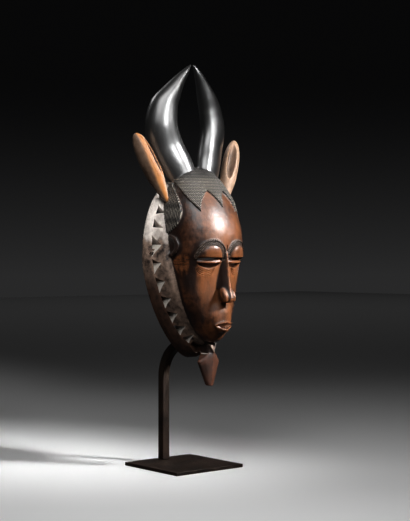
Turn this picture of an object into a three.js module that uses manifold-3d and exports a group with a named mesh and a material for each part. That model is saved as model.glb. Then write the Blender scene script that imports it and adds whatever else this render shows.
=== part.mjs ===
// A carved wooden face mask on a steel stand: horns that meet at their tips, upright animal ears, a collar with
// saw-tooth openings and a pointed beard, all cut from one block that is hollow behind, hung on a bent square bar.
// Millimetres, +Z up. The face looks along -Y, and the origin is the middle of the plate's underside.
import * as THREE from "three";
import { mergeVertices } from "three/addons/utils/BufferGeometryUtils.js";
import { ConvexGeometry } from "three/addons/geometries/ConvexGeometry.js";
import Module from "manifold-3d";

const wasm = await Module();
wasm.setup();

// Driving dimensions

const FIT_GAP = 0.3;

// Stand: a square plate, and a square bar near its back edge that bends forward and up again inside the mask.
const PLATE_SIDE = 100;
const PLATE_THICKNESS = 4;
const PLATE_CHAMFER = 0.5;
const BAR_SIDE = 10;
const BAR_BACK = 38.5;
const BAR_BEND_START = 104;
const BAR_BEND_RADIUS = 42;
const BAR_LEAN = THREE.MathUtils.degToRad(60);
const BAR_LEAN_LENGTH = 26;
const BAR_INNER_RADIUS = 26;
const BEND_STEPS = 8;

// Head: an egg whose widest line runs further forward towards the chin.
const CROWN = 353;
const CHIN = 149;
const FACE_HEIGHT = CROWN - CHIN;
const CROWN_BACK = -22;
const CHIN_FORWARD = -52;
const HEAD_AXIS = -31;
const HEAD_BACK_RATIO = 0.62;
const WALL = 8;
const CEILING = 334;
const HAIR_RISE = 2;
const TEMPLE_POWER = 2.3;
const TEMPLE_RANGE = [215, 255];
const BACK_PLANE = -6;

// Features of the face, placed by plain proportions of its height.
const EYE_LINE = CHIN + FACE_HEIGHT * 0.485;
const NOSE_BASE = CHIN + FACE_HEIGHT * 0.235;
const MOUTH_LINE = CHIN + FACE_HEIGHT * 0.1;
const EYE_SPACING = 18.5;
const EYE_HALF_WIDTH = 13;
const SLIT_HEIGHT = 2.4;
const BROW_HALF_WIDTH = 15;
const BROW_HEIGHT = 20;
const BROW_BAND = 4;

// Collar: a dish behind the face, round an egg-shaped outline, with a row of saw-tooth openings on its ridge.
const COLLAR_CENTRE = 245;
const COLLAR_HALF_WIDTH = 67;
const COLLAR_DROP = 115;
const COLLAR_RISE = 100;
const COLLAR_LOWER_POWER = 1.52;
const COLLAR_UPPER_POWER = 2.35;
const COLLAR_RIDGE = 0.885;
const COLLAR_RIM = 9.5;
const CHIN_SHELF = 0.7;
const CHIN_SHELF_WIDTH = THREE.MathUtils.degToRad(11);

// Each opening's start, point and end on the +X side, as turns in degrees round the collar's centre.
const OPENINGS = [
  [51.5, 50, 45.5],
  [39.5, 37.6, 34.5],
  [25, 19.4, 4.2],
  [2, -2.4, -14.8],
  [-18, -24.6, -35.4],
  [-38, -44.2, -50.6],
  [-52.8, -59.5, -64],
  [-65.8, -71.3, -74],
  [-75.6, -78.8, -80.4],
];
const OPENING_OUTER = 0.918;
const OPENING_INNER = 0.846;
const BEARD_NECK = 5.2;
const OPENING_DEPTH = -40;
const TIE_HOLE_RADIUS = 2.2;

// Horns and animal ears, each given for the +X side.
const HORN_TWIST = THREE.MathUtils.degToRad(30);
const EAR_ROOT = new THREE.Vector3(42.5, -24, 311);
const EAR_TIP = new THREE.Vector3(75.4, -5, 391.5);
const EAR_HALF_WIDTH = 11;
const EAR_HALF_DEPTH = 12.5;
const EAR_TURN = THREE.MathUtils.degToRad(18);

// A closed geometry as a solid that can be joined and cut.
function solid(geometry) {
  const bare = geometry.clone();
  bare.deleteAttribute("normal");
  bare.deleteAttribute("uv");
  const merged = mergeVertices(bare, 1e-4);
  return new wasm.Manifold(
    new wasm.Mesh({
      numProp: 3,
      vertProperties: merged.attributes.position.array,
      triVerts: new Uint32Array(merged.index.array),
    }),
  );
}

function geometryOf(body) {
  const mesh = body.getMesh();
  const geometry = new THREE.BufferGeometry();
  geometry.setAttribute("position", new THREE.BufferAttribute(mesh.vertProperties, 3));
  geometry.setIndex(new THREE.BufferAttribute(mesh.triVerts, 1));
  geometry.computeVertexNormals();
  return geometry;
}

function join(bodies) {
  return bodies.reduce((whole, body) => whole.add(body));
}

function bothSides(body) {
  return body.add(body.mirror([1, 0, 0]));
}

// Moves every vertex of a geometry to where the rule sends it.
function mould(geometry, rule) {
  const position = geometry.attributes.position;
  const point = new THREE.Vector3();
  for (let i = 0; i < position.count; i++) {
    point.fromBufferAttribute(position, i);
    const moved = rule(point);
    position.setXYZ(i, moved.x, moved.y, moved.z);
  }
  return geometry;
}

function ellipsoid(centre, halfSizes, around, along) {
  const ball = new THREE.SphereGeometry(1, around, along).scale(halfSizes.x, halfSizes.y, halfSizes.z);
  return solid(ball.translate(centre.x, centre.y, centre.z));
}

// An outline drawn as (across, up) in the front view, pushed through from front to back.
function frontPrism(shape, front, back) {
  const prism = new THREE.ExtrudeGeometry(shape, { depth: back - front, bevelEnabled: false, curveSegments: 5 });
  return solid(prism.rotateX(Math.PI / 2).translate(0, back, 0));
}

// An outline drawn as (across, up) in the view from halfway round to the -X side of the head, pushed through from
// the front of the head as far as the rear given.
function cheekPrism(shape, rear) {
  const front = 100;
  const prism = new THREE.ExtrudeGeometry(shape, { depth: front + rear, bevelEnabled: false, curveSegments: 5 });
  prism.rotateX(Math.PI / 2).translate(0, rear, 0).rotateZ(-Math.PI / 4);
  return solid(prism.translate(0, HEAD_AXIS, 0));
}

// Half-width, front and height of the head, from the crown down to the chin.
const HEAD_PROFILE = new THREE.CatmullRomCurve3([
  new THREE.Vector3(0, CROWN_BACK, CROWN),
  new THREE.Vector3(21, -36, 346),
  new THREE.Vector3(35, -53, 328),
  new THREE.Vector3(43, -68, 306),
  new THREE.Vector3(46.5, -78.5, 280),
  new THREE.Vector3(47, -79.5, 260),
  new THREE.Vector3(46, -74, 243),
  new THREE.Vector3(43, -71.5, 222),
  new THREE.Vector3(37.5, -71, 200),
  new THREE.Vector3(28.5, -71, 180),
  new THREE.Vector3(20, -69, 164),
  new THREE.Vector3(10, -62, 153),
  new THREE.Vector3(0, CHIN_FORWARD, CHIN),
]);

function widestLine(z) {
  const share = THREE.MathUtils.clamp((z - CHIN) / FACE_HEIGHT, 0, 1);
  return CHIN_FORWARD + (CROWN_BACK - CHIN_FORWARD) * Math.sin((share * Math.PI) / 2);
}

// How full the head is between its front and its sides: round below, fuller at the temples.
function sectionPower(z) {
  const share = THREE.MathUtils.smoothstep(z, TEMPLE_RANGE[0], TEMPLE_RANGE[1]);
  return THREE.MathUtils.lerp(2, TEMPLE_POWER, share);
}

// The head, grown by a distance or, for the hollow, shrunk by it and run out through the back.
function headForm(grow, around, levels, openBack) {
  const ball = new THREE.SphereGeometry(1, around, levels).rotateX(Math.PI / 2);
  const middle = (CROWN + CHIN) / 2;
  const stretch = 1 + (2 * grow) / FACE_HEIGHT;
  return solid(
    mould(ball, (direction) => {
      const level = Math.acos(THREE.MathUtils.clamp(direction.z, -1, 1)) / Math.PI;
      const station = HEAD_PROFILE.getPointAt(level);
      const turn = Math.atan2(direction.y, direction.x);
      const share = Math.min(1, station.x / (2 * Math.abs(grow) + 1));
      const half = Math.max(0, station.x + grow * share);
      const widest = widestLine(station.z);
      const front = Math.max(0, widest - station.y + grow * share);
      const back = openBack ? -widest - BACK_PLANE : half * HEAD_BACK_RATIO;
      const isFront = direction.y < 0;
      const power = isFront ? sectionPower(station.z) : 2;
      const [across, along] = [Math.cos(turn), Math.sin(turn)].map(
        (value) => Math.sign(value) * Math.abs(value) ** (2 / power),
      );
      return new THREE.Vector3(
        half * across,
        widest + (isFront ? front : back) * along,
        middle + (station.z - middle) * stretch,
      );
    }),
  );
}

// How far forward the head's surface lies at a place in the front view.
function headSurface(x, z) {
  const samples = HEAD_PROFILE.getSpacedPoints(120);
  const next = samples.findIndex((station) => station.z <= z);
  const [above, below] = [samples[Math.max(0, next - 1)], samples[next]];
  const share = (above.z - z) / Math.max(1e-6, above.z - below.z);
  const half = THREE.MathUtils.lerp(above.x, below.x, share);
  const front = THREE.MathUtils.lerp(above.y, below.y, share);
  const widest = widestLine(z);
  const power = sectionPower(z);
  return widest - (widest - front) * Math.max(0, 1 - Math.abs(x / half) ** power) ** (1 / power);
}

// The collar's outline round its centre: distance from the centre at a turn from +X towards +Z.
function collarReach(turn) {
  const [across, up] = [Math.abs(Math.cos(turn)), Math.sin(turn)];
  const power = up < 0 ? COLLAR_LOWER_POWER : COLLAR_UPPER_POWER;
  const height = up < 0 ? COLLAR_DROP : COLLAR_RISE;
  return ((across / COLLAR_HALF_WIDTH) ** power + (Math.abs(up) / height) ** power) ** (-1 / power);
}

function collarPoint(turn, share, inset) {
  const reach = (collarReach(turn) - inset) * share;
  return new THREE.Vector2(reach * Math.cos(turn), COLLAR_CENTRE + reach * Math.sin(turn));
}

// How deep the collar is at a turn and share of its outline: shallow above, deeper below, and its outer part
// furthest forward under the chin.
function collarDepth(turn, share) {
  const shelf = CHIN_SHELF * Math.exp(-(((turn + Math.PI / 2) / CHIN_SHELF_WIDTH) ** 2));
  return 0.78 - 0.22 * Math.sin(turn) + shelf * share ** 3;
}

// A solid of the collar's outline, or of an outline inset from it: a profile of (share of the outline, depth)
// pairs turned round the centre.
function collarForm(profile, inset, segments) {
  const turned = new THREE.LatheGeometry(
    profile.map(([share, depth]) => new THREE.Vector2(share, depth)),
    segments,
  );
  turned.rotateX(Math.PI);
  return solid(
    mould(turned, (point) => {
      const turn = Math.atan2(point.z, point.x);
      const share = Math.hypot(point.x, point.z);
      const flat = collarPoint(turn, share, inset);
      return new THREE.Vector3(flat.x, point.y * collarDepth(turn, share), flat.y);
    }),
  );
}

function collar() {
  const profile = [
    [0, 4],
    [1, 4],
    [0.985, 14],
    [0.94, 22],
    [COLLAR_RIDGE, 27.5],
    [0.83, 37],
    [0.74, 45],
    [0.6, 47],
    [0, 47],
  ];
  return collarForm(profile, 0, 52);
}

function collarHollow() {
  const profile = [
    [0, 0],
    [1, 0],
    [0.985, 9],
    [0.9, 21],
    [0.76, 34],
    [0.6, 37],
    [0, 38],
  ];
  return collarForm(profile, COLLAR_RIM, 32);
}

// One row of saw-tooth openings from below the ear round to the beard: each a triangle with its long side outwards
// and its point towards the face. The last one runs out under the collar beside the beard.
function collarOpenings() {
  const cutter = (corners, turn, back) =>
    frontPrism(new THREE.Shape(corners), OPENING_DEPTH * collarDepth(turn, COLLAR_RIDGE), back);
  const row = OPENINGS.map((degrees) => {
    const [start, tip, end] = degrees.map(THREE.MathUtils.degToRad);
    const corners = [
      collarPoint(start, OPENING_OUTER, 0),
      collarPoint(end, OPENING_OUTER, 0),
      collarPoint(tip, OPENING_INNER, 0),
    ];
    return cutter(corners, tip, 5);
  });
  const last = [
    new THREE.Vector2(14.3, 151.5),
    new THREE.Vector2(17, 127),
    new THREE.Vector2(BEARD_NECK, 137.5),
    new THREE.Vector2(BEARD_NECK, 146.5),
  ];
  return bothSides(join([...row, cutter(last, -Math.PI / 2, -30)]));
}

function tieHoles() {
  const drill = new THREE.CylinderGeometry(TIE_HOLE_RADIUS, TIE_HOLE_RADIUS, 24, 10).rotateZ(Math.PI / 2);
  return bothSides(solid(drill.translate(COLLAR_HALF_WIDTH - 6, -17, 253)));
}

// The cap of hair: everything above a hairline of three pointed locks in front and a slope on each side.
function hairCap() {
  const front = new THREE.Shape();
  front.moveTo(-70, 290);
  front.lineTo(-26, 290);
  front.quadraticCurveTo(-24, 318, -12, 326);
  front.quadraticCurveTo(-4, 320, 0, 306);
  front.quadraticCurveTo(4, 320, 12, 326);
  front.quadraticCurveTo(24, 318, 26, 290);
  front.lineTo(70, 290);
  front.lineTo(70, 370);
  front.lineTo(-70, 370);
  const slope = new THREE.Shape([
    new THREE.Vector2(-80, 356),
    new THREE.Vector2(-46, 354),
    new THREE.Vector2(-36, 343.5),
    new THREE.Vector2(-26.5, 331.5),
    new THREE.Vector2(-14, 318),
    new THREE.Vector2(4.5, 300.5),
    new THREE.Vector2(14, 285),
    new THREE.Vector2(100, 285),
    new THREE.Vector2(100, 370),
    new THREE.Vector2(-80, 370),
  ]);
  const above = cheekPrism(slope, 100);
  const hair = headForm(HAIR_RISE, 32, 21, false).intersect(frontPrism(front, -100, 20));
  return hair.intersect(above).intersect(above.mirror([1, 0, 0]));
}

// A rounded lock that hangs before each ear, down to the small ear's top.
function templeLocks() {
  const lock = new THREE.Shape();
  lock.moveTo(-70, 344);
  lock.lineTo(-37, 343);
  lock.quadraticCurveTo(-29, 336, -24, 326);
  lock.quadraticCurveTo(-14, 306, -15, 297);
  lock.quadraticCurveTo(-17, 287, -31, 277);
  lock.lineTo(-70, 277);
  return bothSides(headForm(HAIR_RISE, 32, 21, false).intersect(cheekPrism(lock, 0)));
}

// A small round ear on each side of the head, cupped in the middle.
function smallEars() {
  const outline = new THREE.Shape();
  outline.absarc(-33, 262, 12.5, -Math.PI / 2, Math.PI / 2, false);
  const cup = ellipsoid(new THREE.Vector3(-50, -36, 262), new THREE.Vector3(4.5, 9, 9.5), 12, 8);
  return bothSides(headForm(3.2, 32, 21, false).intersect(cheekPrism(outline, 0)).subtract(cup));
}

function eyeSockets() {
  const centre = new THREE.Vector3(EYE_SPACING, headSurface(EYE_SPACING, EYE_LINE) - 2, EYE_LINE + 4);
  return bothSides(ellipsoid(centre, new THREE.Vector3(14.5, 7, 16), 12, 8));
}

function eyelids() {
  const centre = new THREE.Vector3(EYE_SPACING, headSurface(EYE_SPACING, EYE_LINE) + 4, EYE_LINE + 3);
  return bothSides(ellipsoid(centre, new THREE.Vector3(EYE_HALF_WIDTH, 7, 12), 14, 9));
}

// The eyes are narrow slits cut through to the hollow, for the wearer to see by.
function eyeSlits() {
  const lens = new THREE.Shape();
  const [left, right] = [EYE_SPACING - EYE_HALF_WIDTH * 0.85, EYE_SPACING + EYE_HALF_WIDTH * 0.85];
  lens.moveTo(left, EYE_LINE);
  lens.quadraticCurveTo(EYE_SPACING, EYE_LINE - SLIT_HEIGHT, right, EYE_LINE);
  lens.quadraticCurveTo(EYE_SPACING, EYE_LINE + SLIT_HEIGHT, left, EYE_LINE);
  return bothSides(frontPrism(lens, -100, -45));
}

// A raised band that arches over each eye and runs down into the side of the nose.
function brows() {
  const steps = 16;
  const path = Array.from({ length: steps + 1 }, (_, i) => {
    const turn = THREE.MathUtils.lerp(-0.1, 1.06, i / steps) * Math.PI;
    const x = EYE_SPACING + 0.5 + BROW_HALF_WIDTH * Math.cos(turn);
    const z = EYE_LINE + BROW_HEIGHT * Math.sin(turn);
    return new THREE.Vector3(x, headSurface(x, z) + 0.6, z);
  });
  const half = BROW_BAND / 2;
  const band = new THREE.Shape([
    new THREE.Vector2(half, 0),
    new THREE.Vector2(half * 0.7, half * 0.7),
    new THREE.Vector2(0, half),
    new THREE.Vector2(-half * 0.7, half * 0.7),
    new THREE.Vector2(-half, 0),
    new THREE.Vector2(0, -half),
  ]);
  const swept = new THREE.ExtrudeGeometry(band, {
    steps: 16,
    extrudePath: new THREE.CatmullRomCurve3(path),
    bevelEnabled: false,
  });
  return bothSides(solid(swept));
}

// A long thin nose: a straight ridge, with a rounded wing on each side at its base.
function nose() {
  const bridge = [
    [1.8, -80, EYE_LINE + 13],
    [2.2, -81.3, EYE_LINE],
    [2.6, -83.2, EYE_LINE - 22],
    [3, -85.5, NOSE_BASE + 15],
    [5, -70, EYE_LINE + 12],
    [7, -66, EYE_LINE - 20],
    [8, -66, NOSE_BASE + 12],
  ];
  const tip = [
    [3, -85.5, NOSE_BASE + 15],
    [3.4, -89, NOSE_BASE + 5],
    [3, -87.5, NOSE_BASE + 1],
    [8, -66, NOSE_BASE + 12],
    [8, -66, NOSE_BASE + 2],
    [5, -66, NOSE_BASE - 2],
  ];
  const [upper, lower] = [bridge, tip].map((places) => {
    const corners = places.flatMap(([x, y, z]) => [new THREE.Vector3(x, y, z), new THREE.Vector3(-x, y, z)]);
    return solid(new ConvexGeometry(corners));
  });
  const wing = ellipsoid(new THREE.Vector3(5.8, -78.5, NOSE_BASE + 7.5), new THREE.Vector3(3.8, 8, 7.5), 12, 8);
  return upper.add(lower).add(bothSides(wing));
}

function mouth() {
  const front = headSurface(0, MOUTH_LINE);
  const lips = new THREE.TorusGeometry(5, 3, 8, 16).rotateX(Math.PI / 2).scale(1.35, 1.2, 0.85);
  return solid(lips.translate(0, front - 1.8, MOUTH_LINE));
}

// One horn: rings of an oval section along a line that swings out from the crown and back in to the tip. The second
// line holds the section's long and short half-sizes at the same places.
function horn() {
  const line = new THREE.CatmullRomCurve3([
    new THREE.Vector3(15, -22, 335),
    new THREE.Vector3(25, -15, 358),
    new THREE.Vector3(33.5, -9, 378),
    new THREE.Vector3(38.8, -7, 401),
    new THREE.Vector3(34.9, -6.8, 425),
    new THREE.Vector3(26.6, -9.5, 441),
    new THREE.Vector3(17.3, -12.5, 456),
    new THREE.Vector3(9, -15, 467),
    new THREE.Vector3(1.7, -16, 476),
  ]);
  const girth = new THREE.CatmullRomCurve3([
    new THREE.Vector3(17, 12, 0),
    new THREE.Vector3(20, 13.5, 1),
    new THREE.Vector3(20.5, 13.5, 2),
    new THREE.Vector3(19.6, 14, 3),
    new THREE.Vector3(17, 12.8, 4),
    new THREE.Vector3(12, 11, 5),
    new THREE.Vector3(7.4, 7.4, 6),
    new THREE.Vector3(4.2, 4.4, 7),
    new THREE.Vector3(0.9, 0.9, 8),
  ]);
  const rod = new THREE.CylinderGeometry(1, 1, 1, 16, 15);
  return solid(
    mould(rod, (point) => {
      const along = point.y + 0.5;
      const centre = line.getPoint(along);
      const tangent = line.getTangent(along);
      const outwards = new THREE.Vector3(Math.cos(HORN_TWIST), Math.sin(HORN_TWIST), 0);
      const across = outwards.addScaledVector(tangent, -outwards.dot(tangent)).normalize();
      const forward = new THREE.Vector3().crossVectors(tangent, across);
      const { x: long, y: short } = girth.getPoint(along);
      return centre.addScaledVector(across, point.x * long).addScaledVector(forward, -point.z * short);
    }),
  );
}

// One upright ear: a thick rounded leaf, hollowed out on the side that looks forward and in.
function animalEar() {
  const axis = EAR_TIP.clone().sub(EAR_ROOT);
  const length = axis.length();
  const up = axis.clone().normalize();
  const open = new THREE.Vector3(-Math.sin(EAR_TURN), -Math.cos(EAR_TURN), 0);
  open.addScaledVector(up, -open.dot(up)).normalize();
  const side = new THREE.Vector3().crossVectors(up, open);
  const placed = new THREE.Matrix4().makeBasis(side, open.clone().negate(), up).setPosition(EAR_ROOT);
  const leaf = new THREE.SphereGeometry(1, 14, 12).rotateX(Math.PI / 2);
  mould(leaf, (p) => {
    const blunt = p.z < 0 ? (1.02 - p.z ** 2) ** -0.14 : 1;
    const fullness = (0.93 + 0.13 * p.z) * blunt;
    const [across, through] = [p.x * EAR_HALF_WIDTH * fullness, p.y * EAR_HALF_DEPTH * fullness];
    return new THREE.Vector3(across, through, ((p.z + 1) * length) / 2);
  });
  const scoop = new THREE.SphereGeometry(1, 10, 8).rotateX(Math.PI / 2);
  scoop.scale(6.5, 11, length * 0.36).translate(-1.5, -EAR_HALF_DEPTH, length * 0.6);
  return solid(leaf.applyMatrix4(placed)).subtract(solid(scoop.applyMatrix4(placed)));
}

// A pointed beard on a narrow neck under the collar, with facets that meet in a ridge down its front and a blunt tip.
function beard() {
  const hull = (side, middle) =>
    solid(
      new ConvexGeometry([
        ...side.flatMap(([x, y, z]) => [new THREE.Vector3(x, y, z), new THREE.Vector3(-x, y, z)]),
        ...middle.map(([y, z]) => new THREE.Vector3(0, y, z)),
      ]),
    );
  const neck = [
    [BEARD_NECK, -36, 150],
    [BEARD_NECK, -50, 148],
    [BEARD_NECK, -36, 130],
    [BEARD_NECK, -51, 130],
    [3.5, -53.5, 147],
  ];
  const body = [
    [BEARD_NECK, -38, 137.5],
    [BEARD_NECK, -53, 137.5],
    [15.5, -44, 128],
    [15, -47.5, 127.5],
    [9, -52.5, 130],
    [4, -45, 100.5],
    [5, -48, 100],
    [3, -51, 100],
  ];
  const necked = hull(neck, [[-55.5, 146], [-55, 132]]);
  return necked.add(hull(body, [[-55.2, 136], [-55, 131], [-52, 99.5]]));
}

function maskSolid() {
  const behind = solid(new THREE.BoxGeometry(300, 60, 260).translate(0, BACK_PLANE + 30, 245));
  const head = headForm(0, 32, 21, false).subtract(eyeSockets());
  const shell = join([head, collar(), hairCap(), templeLocks(), smallEars()]).subtract(behind);
  const above = solid(new THREE.BoxGeometry(300, 200, 60).translate(0, 0, CEILING + 30));
  const hollow = headForm(-WALL, 24, 16, true).add(collarHollow()).subtract(above);
  const faced = join([shell, eyelids(), brows(), nose(), mouth(), beard()]);
  const crowned = join([faced, bothSides(horn()), bothSides(animalEar())]);
  return crowned.subtract(hollow).subtract(collarOpenings()).subtract(eyeSlits()).subtract(tieHoles());
}

// The bar's centre line in the side view, as places with the lean of the cross-section there: up, forward, then up
// again inside the mask to its ceiling.
function barStations() {
  const lean = (i) => (BAR_LEAN * i) / BEND_STEPS;
  const first = Array.from({ length: BEND_STEPS + 1 }, (_, i) => ({
    y: BAR_BACK - BAR_BEND_RADIUS * (1 - Math.cos(lean(i))),
    z: BAR_BEND_START + BAR_BEND_RADIUS * Math.sin(lean(i)),
    lean: lean(i),
  }));
  const leant = first.at(-1);
  const start = {
    y: leant.y - BAR_LEAN_LENGTH * Math.sin(BAR_LEAN),
    z: leant.z + BAR_LEAN_LENGTH * Math.cos(BAR_LEAN),
  };
  const second = Array.from({ length: BEND_STEPS + 1 }, (_, i) => {
    const left = lean(BEND_STEPS - i);
    return {
      y: start.y + BAR_INNER_RADIUS * (Math.cos(BAR_LEAN) - Math.cos(left)),
      z: start.z + BAR_INNER_RADIUS * (Math.sin(BAR_LEAN) - Math.sin(left)),
      lean: left,
    };
  });
  const foot = { y: BAR_BACK, z: PLATE_THICKNESS + FIT_GAP, lean: 0 };
  const top = { y: second.at(-1).y, z: CEILING - FIT_GAP, lean: 0 };
  return [foot, ...first, ...second, top];
}

function bar() {
  const stations = barStations();
  const blank = new THREE.BoxGeometry(BAR_SIDE, BAR_SIDE, 1, 1, 1, stations.length - 1);
  return mould(blank, (point) => {
    const station = stations[Math.round((point.z + 0.5) * (stations.length - 1))];
    const back = new THREE.Vector3(0, Math.cos(station.lean), Math.sin(station.lean));
    return new THREE.Vector3(point.x, station.y, station.z).addScaledVector(back, point.y);
  });
}

function plate() {
  const top = PLATE_SIDE / 2 - PLATE_CHAMFER;
  const bottom = PLATE_SIDE / 2;
  const corners = [-1, 1].flatMap((sx) =>
    [-1, 1].flatMap((sy) => [
      new THREE.Vector3(sx * bottom, sy * bottom, 0),
      new THREE.Vector3(sx * bottom, sy * bottom, PLATE_THICKNESS - PLATE_CHAMFER),
      new THREE.Vector3(sx * top, sy * top, PLATE_THICKNESS),
    ]),
  );
  return new ConvexGeometry(corners);
}

const steel = new THREE.MeshStandardMaterial({ color: 0x2b211b, roughness: 0.45, metalness: 0.9 });
const wood = new THREE.MeshStandardMaterial({ color: 0x5a2f1a, roughness: 0.4, metalness: 0 });

const object = new THREE.Group();

function place(name, geometry, material) {
  const mesh = new THREE.Mesh(geometry, material);
  mesh.name = name;
  object.add(mesh);
}

place("base_plate", plate(), steel);
place("stand_post", bar(), steel);
place("mask", geometryOf(maskSolid()), wood);

export default object;
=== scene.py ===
import math

import bmesh
import bpy
import numpy as np
from mathutils import Euler, Matrix, Vector, geometry
from mathutils.bvhtree import BVHTree


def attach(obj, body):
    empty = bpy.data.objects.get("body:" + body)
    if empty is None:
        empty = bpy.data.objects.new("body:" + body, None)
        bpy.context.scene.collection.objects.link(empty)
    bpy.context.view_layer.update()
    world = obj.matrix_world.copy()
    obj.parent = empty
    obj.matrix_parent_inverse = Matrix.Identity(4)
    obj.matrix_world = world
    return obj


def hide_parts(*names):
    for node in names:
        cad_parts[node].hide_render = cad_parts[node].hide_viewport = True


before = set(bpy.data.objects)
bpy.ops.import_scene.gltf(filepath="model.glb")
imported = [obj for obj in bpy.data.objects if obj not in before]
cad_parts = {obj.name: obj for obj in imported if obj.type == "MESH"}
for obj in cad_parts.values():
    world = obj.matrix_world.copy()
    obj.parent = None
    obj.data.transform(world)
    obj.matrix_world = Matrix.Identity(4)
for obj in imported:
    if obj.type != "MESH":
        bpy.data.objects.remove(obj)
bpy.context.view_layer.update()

# Shapes are worked out in millimetres, and made metres when a piece is finished.
MM = 0.001
ROOT = "root"

# The head.
CROWN = 353
CHIN = 149
FACE_HEIGHT = CROWN - CHIN
CROWN_BACK = -22
CHIN_FORWARD = -52
HEAD_AXIS = -31
HEAD_BACK_RATIO = 0.62
WALL = 8
CEILING = 334
BACK_PLANE = -6
HAIR_RISE = 2
TEMPLE_POWER = 2.3
TEMPLE_RANGE = (215, 255)
# Half-width, front and height, from the crown down to the chin.
HEAD_STATIONS = [
    (0, CROWN_BACK, CROWN),
    (21, -36, 346),
    (35, -53, 328),
    (43, -68, 306),
    (46.5, -78.5, 280),
    (47, -79.5, 260),
    (46, -74, 243),
    (43, -71.5, 222),
    (37.5, -71, 200),
    (28.5, -71, 180),
    (20, -69, 164),
    (10, -62, 153),
    (0, CHIN_FORWARD, CHIN),
]

# Features of the face, placed by plain proportions of its height.
EYE_LINE = CHIN + FACE_HEIGHT * 0.485
NOSE_BASE = CHIN + FACE_HEIGHT * 0.235
MOUTH_LINE = CHIN + FACE_HEIGHT * 0.1
EYE_SPACING = 18.9
EYE_HALF_WIDTH = 13.4
BROW_HALF_WIDTH = 15.6
BROW_HEIGHT = 17.6
BROW_STEPS = 49

# The collar behind the face.
COLLAR_CENTRE = 245
COLLAR_HALF_WIDTH = 67
COLLAR_DROP = 115
COLLAR_RISE = 100
COLLAR_LOWER_POWER = 1.52
COLLAR_UPPER_POWER = 2.35
COLLAR_RIDGE = 0.885
COLLAR_RIM = 9.5
CHIN_SHELF = 0.7
CHIN_SHELF_WIDTH = math.radians(11)
# Each opening's start, point and end on the +X side, as turns in degrees round the collar's centre, and how
# far out its point lies as a share of the collar's outline.
OPENINGS = (
    (52.8, 50.4, 44.7, 0.835),
    (41, 36.6, 33.4, 0.81),
    (26.2, 18.5, 3.6, 0.82),
    (2, -2.8, -14.8, 0.835),
    (-18, -24.6, -35.4, 0.842),
    (-38, -44.2, -50.6, 0.842),
    (-52.8, -59.5, -64, 0.842),
    (-65.8, -71.3, -74, 0.842),
    (-75.6, -78.8, -80.4, 0.842),
)
OPENING_DEPTH = -40
OPENING_OUTER = 0.92
BEARD_NECK = 5.2
LAST_OPENING = [(14.3, 151.5), (17, 127), (BEARD_NECK, 137.5), (BEARD_NECK, 146.5)]
# Heights and radii of the holes in the collar's side.
TIE_HOLES = ((253, 2.2), (257.5, 0.9))
BEARD_JOIN = (139, 152)

# Horns and animal ears, each given for the +X side.
HORN_TWIST = math.radians(30)
HORN_LINE = [
    (15, -22, 335), (25, -15, 358), (33.5, -9, 378), (38.8, -7, 401), (34.9, -6.8, 425),
    (26.6, -9.5, 441), (17.3, -12.5, 456), (9, -15, 467), (1.7, -16, 476),
]
HORN_HALF_SIZES = [
    (17, 12), (20, 13.5), (20.5, 13.5), (19.6, 14), (17, 12.8), (12, 11), (7.4, 7.4), (4.2, 4.4), (0.9, 0.9),
]
EAR_ROOT = Vector((42.5, -24, 311))
EAR_TIP = Vector((75.4, -5, 391.5))
EAR_HALF_WIDTH = 11
EAR_HALF_DEPTH = 12.5
EAR_TURN = math.radians(18)

# The stand.
PLATE_SIDE = 100
PLATE_THICKNESS = 4
BAR_SIDE = 10
BAR_BACK = 38.5
BAR_BEND_START = 104
BAR_BEND_RADIUS = 42
BAR_LEAN = math.radians(60)
BAR_LEAN_LENGTH = 26
BAR_INNER_RADIUS = 26
FIT_GAP = 0.3
EDGE_ANGLE = math.radians(50)

# How finely the carving is worked.
CARVING_GRAIN = 0.85
CARVING_TRIANGLES = 165000
SMOOTH_ANGLE = 0.7


def spline(places, steps):
    """Places along a smooth line through the given ones."""
    places = [Vector(place) for place in places]
    ends = [2 * places[0] - places[1], *places, 2 * places[-1] - places[-2]]
    line = []
    for before, start, end, after in zip(ends, ends[1:], ends[2:], ends[3:]):
        first, middle, last = (
            max(1e-3, (b - a).length ** 0.5) for a, b in ((before, start), (start, end), (end, after))
        )
        lead = (start - before) / first - (end - before) / (first + middle) + (end - start) / middle
        trail = (end - start) / middle - (after - start) / (middle + last) + (after - end) / last
        handles = (start + lead * middle / 3, end - trail * middle / 3)
        line += geometry.interpolate_bezier(start, *handles, end, steps + 1)[:-1]
    return line + [places[-1]]


def sample(line, share):
    """The place at a share of a line's list of places."""
    place = min(max(share, 0), 1) * (len(line) - 1)
    index = min(int(place), len(line) - 2)
    return line[index].lerp(line[index + 1], place - index)


def even(line, count):
    """The same line with its places an even distance apart."""
    reach = [0]
    for start, end in zip(line, line[1:]):
        reach.append(reach[-1] + (end - start).length)
    shares = np.interp(np.linspace(0, reach[-1], count), reach, np.linspace(0, 1, len(line)))
    return [sample(line, share) for share in shares]


def faced_out(form):
    bmesh.ops.recalc_face_normals(form, faces=form.faces)
    return form


def mould(form, rule):
    """Moves every vertex of a form to where the rule sends it, and turns its faces outwards."""
    for vert in form.verts:
        vert.co = rule(vert.co.copy())
    return faced_out(form)


def moved(form, matrix):
    bmesh.ops.transform(form, matrix=matrix, verts=form.verts)
    return form


def ball(around, along):
    form = bmesh.new()
    bmesh.ops.create_uvsphere(form, u_segments=around, v_segments=along, radius=1)
    return form


def ellipsoid(centre, half_sizes, turn=(0, 0, 0)):
    turned = Euler(turn).to_matrix().to_4x4()
    return moved(ball(28, 18), Matrix.Translation(centre) @ turned @ Matrix.Diagonal((*half_sizes, 1)))


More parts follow.
